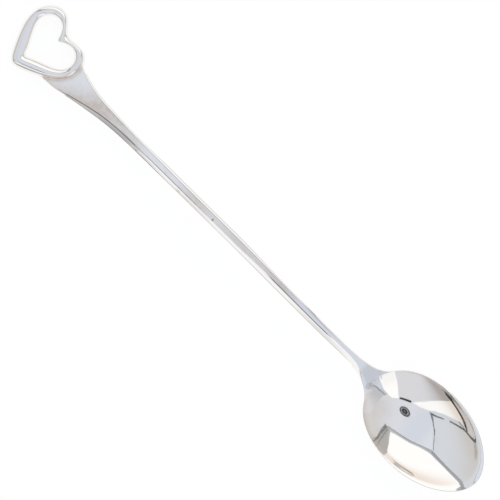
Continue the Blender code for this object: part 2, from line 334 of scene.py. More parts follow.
# side drops below the ridge: the right edge's and the left facet's
def sideDrops(x):
    f = spoonForm
    _, inBowl, onStem, onBevel = zones(x)
    fine = edgeRound(x)
    plain = mixed((fine, f["rimEdge"]), inBowl)
    bevel = (fine + bevelOver(x)) * bevelSlope(x) * headingCos(x) - fine
    slope = mixed(f["facetSlope"], easeBetween(x, *f["facetRun"]))
    facet = slope * headingCos(x) * facetSize(x) - fine
    return plain + f["faceLean"] * onStem + bevel * onBevel, plain + facet * onStem


# right edge: a quarter of an oval on the bowl, going over to the stem's bevel; share of its width, and height
def rightEdge(x, turn):
    f = spoonForm
    _, _, onStem, onBevel = zones(x)
    flat = turn / (math.pi / 2)
    inward = (1 - np.sin(turn)) * (1 - onBevel) + (1 - flat) * onBevel
    low = np.minimum(f["bevelFlatSlope"] / bevelSlope(x), 1.0)
    down = (1 - np.cos(turn)) * (1 - onBevel) + threeFlats(flat, f["bevelFlats"], low, low) * onBevel
    lean = f["faceLean"] * onStem
    return inward, topHeight(x) - lean - (sideDrops(x)[0] - lean) * down


# left edge: the same quarter oval, going over to the stem's facet, which lies flatter beside the ridge at the flare
# and near the neck; share of its width, and height
def leftEdge(x, turn):
    f = spoonForm
    sharp = zones(x)[2]
    flat = turn / (math.pi / 2)
    inward = (1 - np.sin(turn)) * (1 - sharp) + (1 - flat) * sharp
    atFlare, flareRun = f["flareFlat"]
    atNeck, neckIn, neckOut = f["neckFlat"]
    atEdge, edgeRun = f["outerFlat"]
    inner = 1 - atFlare * (1 - easeBetween(x, *flareRun))
    inner = inner - atNeck * easeBetween(x, *neckIn) * (1 - easeBetween(x, *neckOut))
    outer = 1 - atEdge * easeBetween(x, *edgeRun)
    down = (1 - np.cos(turn)) * (1 - sharp) + threeFlats(flat, f["facetFlats"], inner, outer) * sharp
    return inward, topHeight(x) - sideDrops(x)[1] * down


# belly: the sides' height, less a round bar that fades under the bowl, less the bowl's outer ball
def lowerZ(x, y):
    f = spoonForm
    half = np.maximum(halfWidth(x), 1e-7)
    inNeck, inBowl, _, _ = zones(x)
    rightDrop, leftDrop = sideDrops(x)
    rightward = np.clip((1 + y / half) / 2, 0.0, 1.0)
    sideZ = topHeight(x) - rightDrop * rightward - leftDrop * (1 - rightward)
    thicker = easeBetween(x, loopSideX, loopSideX + 3 * f["flareEase"])
    thick = mixed((f["flareThick"], f["stemThick"]), thicker)
    fade = easeBetween(x, (neckX + shoulderX) / 2, shoulderX + f["heelLength"])
    barHalf = mixed((half, np.minimum(half, f["heelHalf"])), inBowl)
    across = np.clip(y / barHalf, -1.0, 1.0)
    barZ = (thick - leftDrop) * (1 - fade) * (1 - across ** 2) ** (0.5 + inNeck)
    share = np.clip(half ** 2 - y ** 2, 0.0, None) / f["bowlHalf"] ** 2
    bowlZ = dishDepth(f["depth"] + f["wall"] - f["rimEdge"], share) * inBowl
    return np.maximum(sideZ - barZ - bowlZ, 0.0)


# points moved sideways with the sway
def swayed(points):
    points[..., 1] += sway(points[..., 0])
    return points


def addObject(name, data):
    item = bpy.data.objects.new(name, data)
    bpy.context.scene.collection.objects.link(item)
    return item


# a grid of points, rows by columns, made a mesh: quads between neighbours, columns closed into rings
def gridMesh(name, points, closeRows=False):
    rows, columns = points.shape[:2]
    index = np.arange(rows * columns).reshape(rows, columns)
    nextRow = np.roll(index, -1, axis=0) if closeRows else index[1:]
    thisRow = index if closeRows else index[:-1]
    quads = np.stack((thisRow, nextRow, np.roll(nextRow, -1, axis=1), np.roll(thisRow, -1, axis=1)), axis=-1)
    faces = quads.reshape(-1, 4).tolist()
    if not closeRows:
        faces += [index[0].tolist(), index[-1][::-1].tolist()]
    mesh = bpy.data.meshes.new(name)
    mesh.from_pydata(points.reshape(-1, 3).tolist(), [], faces)
    tidyMesh(mesh)
    print(name, "surface:", len(mesh.polygons), "faces")
    return addObject(name, mesh)


weldGap = 0.002 * mm  # points closer than this become one


# welds doubled points, turns the faces outwards and shades them smooth
def tidyMesh(mesh):
    bm = bmesh.new()
    bm.from_mesh(mesh)
    bmesh.ops.remove_doubles(bm, verts=bm.verts, dist=weldGap)
    bmesh.ops.dissolve_degenerate(bm, dist=weldGap, edges=bm.edges)
    bmesh.ops.recalc_face_normals(bm, faces=bm.faces)
    bm.to_mesh(mesh)
    bm.free()
    mesh.shade_smooth()


# the slanting scarf joint across the neck
scarfDetail = {
    "angle": math.radians(50),
    "middle": (scarfLow + scarfHigh) / 2,
    "gap": 0.2 * mm,
    "overlap": 0.6 * mm,  # each piece is made this much too long, then cut on the slant
}


# cuts a piece on the scarf, keeps its bowl side or its stem side, and closes the cut with a sharp-edged face
def cutOnScarf(piece, bowlSide):
    d = scarfDetail
    normal = Vector((math.sin(d["angle"]), 0, math.cos(d["angle"])))
    shift = d["gap"] / 2 if bowlSide else -d["gap"] / 2
    bm = bmesh.new()
    bm.from_mesh(piece.data)
    cut = bmesh.ops.bisect_plane(
        bm, geom=bm.verts[:] + bm.edges[:] + bm.faces[:], plane_co=d["middle"] + normal * shift, plane_no=normal,
        clear_inner=bowlSide, clear_outer=not bowlSide)
    ring = [part for part in cut["geom_cut"] if isinstance(part, bmesh.types.BMEdge)]
    bmesh.ops.holes_fill(bm, edges=ring, sides=0)
    for edge in ring:
        edge.smooth = False
    bmesh.ops.recalc_face_normals(bm, faces=bm.faces)
    bm.to_mesh(piece.data)
    bm.free()


# bowl and neck
bowlDetail = {
    "fanX": spoonForm["tipX"] - 8.5 * mm,  # lines from the rim meet the middle line no further out than this
    "neckRows": 150,
    "backRows": 100,
    "frontRows": 140,
    "topColumns": 56,  # rim to middle, each side
    "bellyColumns": 36,
    "lipColumns": 10,
    "rimCrowding": 1.6,
    "sharp": math.radians(35),  # edges steeper than this stay crisp
    "startX": scarfLow.x - scarfDetail["overlap"],
}


# closed section rings: upper face, right edge, belly and left edge, on lines from the outline to the middle
def bowlPoints():
    d = bowlDetail
    line = bowlOutline(d["neckRows"], d["backRows"], d["frontRows"])
    line = line[line[:, 0] > d["startX"]]
    line = np.vstack(((d["startX"], halfWidth(d["startX"])), line))
    edgeX, half = line[:, :1], line[:, 1:]
    middleX = np.minimum(edgeX, d["fanX"])
    reach = np.maximum(np.hypot(edgeX - middleX, half), 1e-6)
    roundShare = np.minimum(edgeRound(edgeX) / reach, 0.5)
    facetShare = roundShare + (facetSize(edgeX) - edgeRound(edgeX)) * zones(edgeX)[2] / reach

    def planPoint(inward, side):
        x = edgeX + (middleX - edgeX) * inward
        return x, half * (1 - inward) * side

    def block(x, y, z):
        return np.dstack(np.broadcast_arrays(x, y, z))

    crowd = np.linspace(0.0, 1.0, d["topColumns"] + 1)[None, :] ** d["rimCrowding"]
    leftX, leftY = planPoint(facetShare + (1 - facetShare) * crowd, -1)
    rightX, rightY = planPoint(roundShare + (1 - roundShare) * crowd[:, ::-1], 1)
    turn = np.linspace(0.0, math.pi / 2, d["lipColumns"] + 1)[None, 1:]
    inward, lipZ = rightEdge(edgeX, turn)
    lipX, lipY = planPoint(inward * roundShare, 1)
    inward, facetZ = leftEdge(edgeX, turn)
    facetX, facetY = planPoint(inward * facetShare, -1)
    sweep = np.linspace(0.0, math.pi / 2, d["bellyColumns"] + 1)[None, 1:]
    bellyRX, bellyRY = planPoint(1 - np.cos(sweep), 1)
    bellyLX, bellyLY = planPoint(1 - np.cos(sweep[:, ::-1])[:, 1:], -1)
    return np.hstack((
        block(leftX, leftY, upperZ(leftX, leftY)),
        block(rightX, rightY, upperZ(rightX, rightY))[:, 1:],
        block(lipX, lipY, lipZ),
        block(bellyRX, bellyRY, lowerZ(bellyRX, bellyRY)),
        block(bellyLX, bellyLY, lowerZ(bellyLX, bellyLY)),
        block(facetX, facetY, facetZ)[:, ::-1],
    ))


bowlPiece = gridMesh("bowl_polished", swayed(bowlPoints()))
cutOnScarf(bowlPiece, bowlSide=True)
bowlPiece.data.set_sharp_from_angle(angle=bowlDetail["sharp"])


# heart loop
heartDetail = {
    "turn": math.radians(69),  # direction of the cleft from +X
    "halfWidth": 8.7 * mm,
    "toTop": 7.6 * mm,
    "toPoint": 8.3 * mm,
    "rim": 2.4 * mm,
    "topRim": 2.1 * mm,
    "pointRim": 3.6 * mm,
    "thick": 3.0 * mm,
    "backFlat": 0.25 * mm,
    "cleft": (1.0, 0.62),  # inner and outer
    "roundness": (0.22, 0.12),
    "squareness": 0.95,
    "offset": 0.9 * mm,
    "rows": 260,
    "columns": 56,
    "fitSteps": 2000,
    "sideSteps": 4000,
}


# textbook heart: sines across, 13 cos t less a ripple of cosines along, fitted to width, top and point
def heartCurve(t, halfWide, toTop, toPoint, cleft, roundness):
    across = halfWide * (np.sin(t) - roundness * np.sin(3 * t)) / (1 + roundness)
    grid = np.linspace(0.0, 2 * math.pi, heartDetail["fitSteps"])

    def along(a):
        return 13 * np.cos(a) - cleft * (5 * np.cos(2 * a) + 2 * np.cos(3 * a) + np.cos(4 * a))

    low, high = along(grid).min(), along(grid).max()
    lengthwise = (along(t) - low) / (high - low) * (toTop + toPoint) - toPoint
    turn = heartDetail["turn"]
    x = across * math.sin(turn) + lengthwise * math.cos(turn)
    y = -across * math.cos(turn) + lengthwise * math.sin(turn)
    return np.stack((x, y), axis=-1)


# the loop's outer line, grown by a margin, and below it the inner line, smaller by the rim
def outerHeart(t, growth=0.0):
    h = heartDetail
    return heartMiddle + heartCurve(t, h["halfWidth"] + growth, h["toTop"] + growth, h["toPoint"] + growth,
                                    h["cleft"][1], h["roundness"][1])


def innerHeart(t):
    h = heartDetail
    return heartMiddle + heartCurve(t, h["halfWidth"] - h["rim"], h["toTop"] - h["topRim"],
                                    h["toPoint"] - h["pointRim"], h["cleft"][0], h["roundness"][0])


# the outer line drawn in by a margin, point by point
def heartSide(sunk):
    return outerHeart(np.linspace(0.0, 2 * math.pi, heartDetail["sideSteps"]), -sunk)


# drawn about the origin first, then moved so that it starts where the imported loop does
heartMiddle = np.zeros(2)
roundTurn = np.linspace(0.0, 2 * math.pi, heartDetail["fitSteps"])
heartMiddle = np.array((loopLow.x - outerHeart(roundTurn)[:, 0].min(), heartDetail["offset"]))


# rim of the loop: from inner to outer heart across, a squarish oval upright, its underside filed flat
def heartPoints():
    h = heartDetail
    t, turn = onceRound(h["rows"]), onceRound(h["columns"])

    def squared(v):
        return np.sign(v) * np.abs(v) ** h["squareness"]

    reach = (1 + squared(np.cos(turn))) / 2
    half = (h["thick"] + h["backFlat"]) / 2
    height = np.maximum(h["thick"] - half + half * squared(np.sin(turn)), 0.0)
    inner, outer = innerHeart(t)[:, None, :], outerHeart(t)[:, None, :]
    plan = inner + (outer - inner) * reach[None, :, None]
    return np.dstack((plan, np.broadcast_to(height, plan.shape[:2])))


heartPiece = gridMesh("heart_loop_polished", heartPoints(), closeRows=True)


# stem and flare
stemDetail = {
    "rows": 300,
    "crowding": 1.5,  # more rows in the flare
    "topColumns": 16,
    "facetColumns": 12,
    "lipColumns": 10,
    "bellyColumns": 40,
    "sunk": 0.9 * mm,  # the coped end runs this far into the loop's rim
    "copeLines": (8 * mm, 801, 0.05 * mm),  # half the span searched, lines in it, how near a point counts
    "copeSearch": (2 * mm, 40),  # how far past the loop's side, and halvings
    "sharp": math.radians(28),  # the ridge stays crisp
    "endX": scarfHigh.x + scarfDetail["overlap"],
}


# where each lengthwise line meets the heart's side: the outline's greatest x at that line's y, by bisection
def copedEnd(lateral):
    d = stemDetail
    side = heartSide(d["sunk"])
    span, lines, near = d["copeLines"]
    levels = np.linspace(-span, span, lines)
    nearest = np.array([side[np.abs(side[:, 1] - y) < near, 0].max(initial=flareX) for y in levels])
    past, halvings = d["copeSearch"]
    low, high = np.full_like(lateral, flareX), np.full_like(lateral, loopSideX + past)
    for _ in range(halvings):
        mid = (low + high) / 2
        outside = mid > np.interp(stemHalfWidth(mid) * lateral, levels, nearest)
        low, high = np.where(outside, low, mid), np.where(outside, mid, high)
    return high


# columns of a stem section, left ridge to right edge, down and round the belly, and up the left facet
def stemColumns():
    d = stemDetail
    top = np.linspace(0.0, 1.0, d["topColumns"] + 1)
    lip = np.linspace(0.0, math.pi / 2, d["lipColumns"] + 1)[1:]
    sweep = np.linspace(0.0, math.pi, d["bellyColumns"] + 1)[1:-1]
    facet = np.linspace(math.pi / 2, 0.0, d["facetColumns"] + 1)[:-1]
    return top, lip, sweep, facet


# section points at any x: the leaning top face, the right edge, the belly and the left facet
def stemSection(x):
    top, lip, sweep, turn = stemColumns()
    cuts = np.cumsum([len(top), len(lip), len(sweep)])
    topX, lipX, bellyX, facetX = np.split(x, cuts, axis=1)
    left, right = facetWidth(topX) - halfWidth(topX), halfWidth(topX) - edgeRound(topX)
    topY = left + (right - left) * top
    inward, lipZ = rightEdge(lipX, lip)
    over = bevelOver(lipX)
    lipY = halfWidth(lipX) + over - (edgeRound(lipX) + over) * inward
    bellyY = halfWidth(bellyX) * np.cos(sweep)
    bellyOver = bevelOver(bellyX) * np.maximum(np.cos(sweep), 0.0)
    inward, facetZ = leftEdge(facetX, turn)
    y = np.hstack((topY, lipY, bellyY + bellyOver, inward * facetWidth(facetX) - halfWidth(facetX)))
    z = np.hstack((upperZ(topX, topY), lipZ, lowerZ(bellyX, bellyY), facetZ))
    return np.dstack((x, y, z))


# stem: sections along lines from the coped end to past the scarf
def stemPoints():
    d = stemDetail
    top, lip, sweep, facet = stemColumns()
    lateral = np.concatenate((2 * top - 1, np.ones_like(lip), np.cos(sweep), -np.ones_like(facet)))
    along = np.linspace(0.0, 1.0, d["rows"])[:, None] ** d["crowding"]
    start = copedEnd(lateral)
    return stemSection(start + (d["endX"] - start) * along)


stemPiece = gridMesh("stem_polished", swayed(stemPoints()))
cutOnScarf(stemPiece, bowlSide=False)
stemPiece.data.set_sharp_from_angle(angle=stemDetail["sharp"])


# solder: a round bead along a path, and a flush band across the neck
seamDetail = {
    "rows": 90,
    "columns": 14,
    "beadRadius": 0.22 * mm,
    "beadHeight": 2.3 * mm,
    "beadSunk": 0.16 * mm,
    "beadTaper": 8,
    "bandProud": 0.001 * mm,
    "bandSunk": 0.1 * mm,
    "bandAcross": (-1.2, -1.0, 0.0, 1.0, 1.2),  # its rows, in halves of the gap
    "bandPasses": 12,
    "bandSharp": math.radians(60),
}


# tube: a circle carried along the path, square to its heading, drawn in to points at both ends
def beadPoints(path):
    s = seamDetail
    heading = headings(path)
    sideways = np.cross(heading, (0, 0, 1))
    upright = np.cross(sideways, heading)
    turn = onceRound(s["columns"])[None, :, None]
    drawnIn = np.linspace(-1.0, 1.0, len(path)) ** s["beadTaper"]
    taper = np.sqrt(np.clip(1 - drawnIn, 0.0, 1.0))[:, None, None] * s["beadRadius"]
    return path[:, None] + taper * (np.cos(turn) * sideways[:, None] + np.sin(turn) * upright[:, None])


# the stretch of the heart's side that the flare meets, from its left edge to its right
def copedPath():
    s = seamDetail
    side = heartSide(s["beadSunk"])
    inFlare = np.abs(side[:, 1]) < stemHalfWidth(side[:, 0]) - edgeRound(side[:, 0])
    stretch = side[inFlare & (side[:, 0] > flareX)]
    stretch = stretch[np.argsort(stretch[:, 1])]
    pick = np.linspace(0, len(stretch) - 1, s["rows"]).astype(int)
    return lifted(stretch[pick], s["beadHeight"])


# band: stem sections leaned back along the scarf, x less the height over the slant's tangent, filling the gap
def bandPoints():
    s, d = seamDetail, scarfDetail
    across = np.array(s["bandAcross"])[:, None]
    proud = np.array((-s["bandSunk"], s["bandProud"], s["bandProud"], s["bandProud"], -s["bandSunk"]))
    columns = sum(len(part) for part in stemColumns())
    start = d["middle"].x + across * d["gap"] / 2 / math.sin(d["angle"])
    x = np.repeat(start, columns, axis=1)
    for _ in range(s["bandPasses"]):
        x = start - (stemSection(x)[..., 2] - d["middle"].z) / math.tan(d["angle"])
    points = stemSection(x)
    middle = points.mean(axis=1, keepdims=True)
    grow = 1 + proud[:, None, None] / spoonForm["stemHalf"]
    points[..., 1:] = middle[..., 1:] + (points[..., 1:] - middle[..., 1:]) * grow
    return points


loopSeamPiece = gridMesh("loop_solder_bead", beadPoints(copedPath()))
neckSeamPiece = gridMesh("neck_solder_band", swayed(bandPoints()))
neckSeamPiece.data.set_sharp_from_angle(angle=seamDetail["bandSharp"])


# camera straight above, turned so that the spoon runs from upper left to lower right
cameraDetail = {
    "height": 0.9,
    "pixel": 0.2253 * mm,  # one pixel of the 500 by 500 frame, at the spoon
    "pixels": 500,
    "centre": (-0.07 * mm, 1.24 * mm),
    "focusHeight": 5 * mm,
    "sensor": 36.0,
    "turn": math.radians(45),
}


def addCamera():
    c = cameraDetail
    data = bpy.data.cameras.new("overhead_camera")
    data.sensor_width = c["sensor"]
    data.lens = c["sensor"] * (c["height"] - c["focusHeight"]) / (c["pixel"] * c["pixels"])
    camera = addObject("overhead_camera", data)
    turn = Matrix.Rotation(c["turn"], 4, "Z")
    camera.matrix_world = Matrix.Translation((*c["centre"], c["height"])) @ turn
    bpy.context.scene.camera = camera


addCamera()
print("camera set")


# a shader node and its settings; a socket gets a value, or a link where that is another node's socket
def addNode(tree, kind, sockets=(), **settings):
    node = tree.nodes.new("ShaderNode" + kind)
    for name, value in settings.items():
        setattr(node, name, value)
    for key, value in dict(sockets).items():
        if isinstance(value, bpy.types.NodeSocket):
            tree.links.new(value, node.inputs[key])
        else:
            node.inputs[key].default_value = value
    return node


def vectorMath(tree, operation, *values):
    return addNode(tree, "VectorMath", dict(enumerate(values)), operation=operation).outputs


def newMaterial(name):
    material = bpy.data.materials.new(name)
    material.use_nodes = True
    return material, material.node_tree


# a blend of two colours
def tinted(tree, factor, first, second):
    node = addNode(tree, "Mix", {"Factor": factor, "A": first, "B": second}, data_type="RGBA")
    return node.outputs["Result"]


# metal finishes: colours, how dull, how scratched; tarnish, partly a painted reflection tint, and the dark marks,
# painted shade and painted reflections with a few nicks, are point attributes painted below
metalLooks = {
    "polished_silver": {
        "colour": (0.93, 0.92, 0.90), "tarnishAndShade": (0.71, 0.62, 0.54), "dull": (0.03, 0.08), "scratched": 0.14,
        # a painted reflection of the camera's lens: a small dark spot on the stem's top face
        "paintedLensSpot": ((-10.8 * mm, 0.1 * mm, 7.6 * mm), (0.3 * mm, 0.48 * mm, 1.5 * mm)),  # place and reach
        # grey of the painted shade, the painted reflections and the nicks
        "paintedDark": (0.36, 0.36, 0.37),
    },
    "hard_solder": {
        "colour": (0.91, 0.895, 0.87), "tarnishAndShade": (0.78, 0.65, 0.54), "dull": (0.05, 0.13), "scratched": 0.10,
    },
}
scratchSets = (  # direction in degrees, lines per metre across and along
    (28, 9000, 260),
    (-37, 11000, 320),
    (84, 8000, 210),
)
grain = {  # noise per metre, then the bumps' depths and the scratches' strength
    "patches": 140.0, "smudges": 420.0, "waves": 170.0, "clouds": 900.0,
    "waveDepth": 0.012 * mm, "cutDepth": 0.004 * mm, "cutStrength": 0.35,
}


def metalFinish(name):
    look = metalLooks[name]
    material, tree = newMaterial(name)
    shader = tree.nodes["Principled BSDF"]
    shader.inputs["Metallic"].default_value = 1.0
    place = addNode(tree, "TexCoord").outputs["Object"]

    def noise(scale, detail, source=place):
        return addNode(tree, "TexNoise", {"Scale": scale, "Detail": detail, "Vector": source}).outputs["Fac"]

    def ranged(value, low, high, first=0.0, last=1.0):
        ends = {"From Min": low, "From Max": high, "To Min": first, "To Max": last}
        return addNode(tree, "MapRange", {"Value": value, **ends}).outputs[0]

    def joined(operation, a, b):
        return addNode(tree, "Math", {0: a, 1: b}, operation=operation).outputs[0]

    # hairline scratches from handling: noise drawn out along three directions, only its crests kept, here and there
    scratches = None
    for degrees, across, along in scratchSets:
        drawn = {"Rotation": (0, 0, math.radians(degrees)), "Scale": (1 / along, 1 / across, 1 / along)}
        turned = addNode(tree, "Mapping", {"Vector": place, **drawn}, vector_type="TEXTURE")
        crest = ranged(noise(1.0, 1.0, turned.outputs[0]), 0.68, 0.76)
        scratches = crest if scratches is None else joined("MAXIMUM", scratches, crest)
    scratches = joined("MULTIPLY", scratches, ranged(noise(grain["patches"], 2.0), 0.35, 0.70))

    # smudges and the polishing wheel's slight waves
    smudge = ranged(noise(grain["smudges"], 5.0), 0.3, 0.75, *look["dull"])
    roughness = joined("ADD", smudge, joined("MULTIPLY", scratches, look["scratched"]))
    tree.links.new(roughness, shader.inputs["Roughness"])
    wavy = {"Strength": 1.0, "Distance": grain["waveDepth"], "Height": noise(grain["waves"], 1.0)}
    waves = addNode(tree, "Bump", wavy).outputs[0]
    cut = {"Strength": grain["cutStrength"], "Distance": grain["cutDepth"], "Height": scratches, "Normal": waves}
    tree.links.new(addNode(tree, "Bump", cut, invert=True).outputs[0], shader.inputs["Normal"])

    # warm tarnish where it was painted, with a painted reflection tint and painted shade in the same colour, broken
    # up by cloudy noise
    painted = addNode(tree, "Attribute", attribute_name="tarnishAndShade").outputs["Fac"]
    cloudy = ranged(noise(grain["clouds"], 4.0), 0.25, 0.75, 0.6, 1.2)
    colour = tinted(tree, joined("MULTIPLY", painted, cloudy), (*look["colour"], 1), (*look["tarnishAndShade"], 1))

    # one small dark spot in the stem's top face, a painted reflection of the camera's lens, and the painted shade,
    # painted reflections and nicks where they were painted
    if "paintedLensSpot" in look:
        where, reach = look["paintedLensSpot"]
        offset = vectorMath(tree, "SUBTRACT", place, where)[0]
        length = vectorMath(tree, "LENGTH", vectorMath(tree, "DIVIDE", offset, reach)[0])["Value"]
        paintedShadeAndNicks = addNode(tree, "Attribute", attribute_name="paintedShadeAndNicks").outputs["Fac"]
        spot = joined("MAXIMUM", ranged(length, 1.0, 0.5), paintedShadeAndNicks)
        colour = tinted(tree, spot, colour, (*look["paintedDark"], 1))
    tree.links.new(colour, shader.inputs["Base Color"])
    return material


# wear, painted shade and painted reflections, painted on the vertices; places and widths in millimetres
wearAndShadeDetail = {
    "along": (  # tarnish on the stem's top, partly a painted reflection tint: place, width, amount, slant
        (-46.0, 6.0, 1.0, 1.5), (-37.0, 4.0, 0.4, 0.0), (-16.5, 4.5, 0.6, 0.0), (-8.0, 5.0, 0.25, 0.0),
        (-1.0, 6.0, 0.55, 0.0), (5.0, 4.0, 0.2, 0.0), (10.5, 4.5, 0.75, 0.0),
    ),
    "topDepth": (0.1, 0.2),  # the top face ends this far below the ridge
    "facet": (-20.0, 8.0, 0.7),  # painted shade on the facet's outer edge, a painted reflection of the shadowed floor, in the tarnish colour: place, width, amount
    "greyShadeAndNicks": (  # painted grey reflection on the facet, then two small nicks: place, width, amount, share kept at the outer edge
        (-40.5, 8.5, 0.52, 1.0), (-31.0, 5.0, 0.28, 0.0), (-17.0, 5.5, 0.3, 0.4), (23.5, 6.5, 0.34, 0.6),
        (-34.2, 0.4, 0.4, 0.4), (-20.9, 0.4, 0.4, 0.6),
    ),
    "rightShadeLine": (22.8, 4.5, 0.97, 0.17, 0.5),  # painted dark reflection line inside the right bevel: x, width, y, width, amount
    "lineDepth": 0.8,  # it ends this far below the ridge
    "bowl": (46.5, -2.8, 2.4, 0.3),  # clouded place: x, y, radius, amount
    "wall": 0.5,  # the bowl's inside lies further than this above its underside
    "hollowLine": ((40.4, -2.2), (39.2, -1.2), (40.3, -0.25), (43.0, -0.45)),  # curve corners, at the hollow's start
    "hollowShadeLine": (0.16, 0.5),  # width and amount of the painted dark reflection line there
    "neckShade": ((36.0, 37.5), (39.8, 42.0), (1.0, 1.6), 0.26),  # painted darker reflection on the neck: comes in, goes out, off the left rim, amount
    "crease": (0.6, 0.9),  # tarnish beside the loop's joint: width and amount
}


# distance in plan to the nearest point of a line
def planDistance(spots, line):
    return np.linalg.norm(spots[:, None, :2] - line[None, :, :2], axis=2).min(axis=1)


# the stem's tarnish and painted shade: sums of bell curves along it, on the top face, the facet or the right edge;
# the top's tarnish is partly a painted reflection tint, the facet's grey and the right edge's dark line are painted
# reflections, with two nicks
def stemWearAndShade(spots):
    d = wearAndShadeDetail
    x, y = spots[:, 0] / mm, spots[:, 1] / mm
    down = topHeight(spots[:, 0]) - spots[:, 2]
    share = down / sideDrops(spots[:, 0])[1]  # 0 at the ridge, 1 at the facet's outer edge
    onTop = 1 - easeBetween(down / mm, *d["topDepth"])
    onFacet = (1 - easeBetween(share, 1.3, 1.7)) * (y < 0)
    tarnishAndShade = onTop * sum(level * bell(x - slant * y, where, width) for where, width, level, slant in d["along"])
    where, width, level = d["facet"]
    tarnishAndShade = tarnishAndShade + onFacet * easeBetween(share, 0.7, 0.9) * level * bell(x, where, width)
    outer = easeBetween(share, 0.6, 0.9)
    greyShadeAndNicks = sum(level * (1 - (1 - kept) * outer) * bell(x, where, width) for where, width, level, kept in d["greyShadeAndNicks"])
    where, width, side, thin, level = d["rightShadeLine"]
    line = level * bell(x, where, width) * bell(y, side, thin) * (down < d["lineDepth"] * mm)
    return tarnishAndShade, greyShadeAndNicks * onFacet * easeBetween(share, 0.2, 0.5) + line


# the bowl's tarnish, one bell curve, and its painted shade: a painted dark reflection line, a bell curve across a
# line, and a painted darker reflection on the neck between smooth steps
def bowlWearAndShade(spots):
    d = wearAndShadeDetail
    x, y = spots[:, 0] / mm, spots[:, 1] / mm
    inside = spots[:, 2] > lowerZ(spots[:, 0], spots[:, 1]) + d["wall"] * mm
    middleX, middleY, radius, level = d["bowl"]
    tarnishAndShade = inside * level * bell(np.hypot(x - middleX, y - middleY), 0.0, radius)
    width, level = d["hollowShadeLine"]
    paintedDark = level * bell(planDistance(spots, cubicCurve(d["hollowLine"], 200) * mm) / mm, 0.0, width)
    start, end, rim, level = d["neckShade"]
    offRim = easeBetween(y + halfWidth(spots[:, 0]) / mm, *rim)
    greyShadeAndNicks = level * offRim * easeBetween(x, *start) * (1 - easeBetween(x, *end))
    return tarnishAndShade, inside * np.maximum(paintedDark, greyShadeAndNicks)


def paintLayer(piece, name, amount):
    layer = piece.data.attributes.new(name, "FLOAT", "POINT")
    layer.data.foreach_set("value", amount)


def paintWearAndShade(piece, wash):
    spots = np.empty(len(piece.data.vertices) * 3)
    piece.data.vertices.foreach_get("co", spots)
    spots = spots.reshape(-1, 3)
    tarnishAndShade = np.full(len(spots), wash)
    for markedPiece, wearAndShade in ((stemPiece, stemWearAndShade), (bowlPiece, bowlWearAndShade)):
        if piece is markedPiece:
            more, paintedDark = wearAndShade(spots)
            tarnishAndShade = tarnishAndShade + more
            paintLayer(piece, "paintedShadeAndNicks", paintedDark)
    if piece in (stemPiece, heartPiece):
        width, level = wearAndShadeDetail["crease"]
        tarnishAndShade = tarnishAndShade + level * bell(planDistance(spots, copedPath()) / mm, 0.0, width)
    paintLayer(piece, "tarnishAndShade", np.clip(tarnishAndShade, 0.0, 1.0))


finishes = {name: metalFinish(name) for name in metalLooks}
pieceNodes = (
    (bowlPiece, "polished_silver", "bowl", 0.0),
    (stemPiece, "polished_silver", "stem", 0.0),
    (heartPiece, "polished_silver", "heart_loop", 0.04),
    (neckSeamPiece, "hard_solder", "bowl_solder_seam", 0.0),
    (loopSeamPiece, "hard_solder", "loop_solder_seam", 0.8),
)
for piece, slotName, node, wash in pieceNodes:
    paintWearAndShade(piece, wash)
    piece.data.materials.append(finishes[slotName])
    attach(piece, "root")
    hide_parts(node)
print("finishes set on", len(pieceNodes), "pieces")


# white floor: camera and mirror rays see it partly glowing white, the rest still takes the spoon's shadow
floorDetail = {"size": 30.0, "glow": 0.80, "mirrorGlow": 0.78, "glowLevel": 1.08, "white": 0.92, "rough": 0.9}


def addFloor():
    f = floorDetail
    size = f["size"]
    mesh = bpy.data.meshes.new("floor")
    mesh.from_pydata([(-size, -size, 0), (size, -size, 0), (size, size, 0), (-size, size, 0)], [], [(0, 1, 2, 3)])
    floor = addObject("floor", mesh)
    material, tree = newMaterial("white_floor")
    shader = tree.nodes["Principled BSDF"]
    shader.inputs["Base Color"].default_value = (f["white"], f["white"], f["white"], 1)
    shader.inputs["Roughness"].default_value = f["rough"]
    rays = addNode(tree, "LightPath")
    levels = {"Is Camera Ray": f["glow"], "Is Glossy Ray": f["mirrorGlow"], "Is Transmission Ray": f["glow"]}
    share = 0.0
    for ray, level in levels.items():
        share = addNode(tree, "Math", {0: rays.outputs[ray], 1: level, 2: share}, operation="MULTIPLY_ADD").outputs[0]
    glow = addNode(tree, "Emission", {"Strength": f["glowLevel"]})
    mix = addNode(tree, "MixShader", {0: share, 1: shader.outputs[0], 2: glow.outputs[0]})
    tree.links.new(mix.outputs[0], tree.nodes["Material Output"].inputs["Surface"])
    mesh.materials.append(material)


addFloor()
print("floor laid")

# light tent: sheets and bars over the bowl, corners in metres sideways per metre of height above the table
tent = {
    "middle": (widestX, 0.0),
    "height": 2.0,
    "layer": 0.004,  # each sheet hangs this much below the one before,
    "barLayer": 16,  # and the bars this many layers down
    "low": (3.2, 7.5),  # over this distance a sheet takes on the horizon's tint
}
edges = {  # lines that two neighbouring sheets share
    "roof": ((-0.04, -0.4), (-0.25, -0.16), (-0.42, 0.13), (-0.08, 0.42)),
    "back": ((-1.2, -2.15), (-0.7, -1.52), (-0.34, -1.14), (-0.14, -0.92)),
    "strip": ((-0.9, -2.35), (-0.65, -1.94), (-0.3, -1.42), (-0.02, -1.12), (0.14, -0.88), (0.25, -0.62)),
    "side": ((0.43, -0.82), (0.33, -1.5), (0.19, -3.05), (0, -14)),
    "end": ((1.29, -0.54), (2.05, -1.07), (5, -2.8), (14, -7.8)),
    "corner": ((0.51, 1.75), (0.6, 3.75), (0.83, 5.65), (2.1, 14)),
    "far": ((0.54, 0.94), (0.25, 0.72), (-0.13, 0.49), (-0.41, 0.36), (-0.91, 0.42), (-1.36, 0.53), (-14, 4.4)),
}
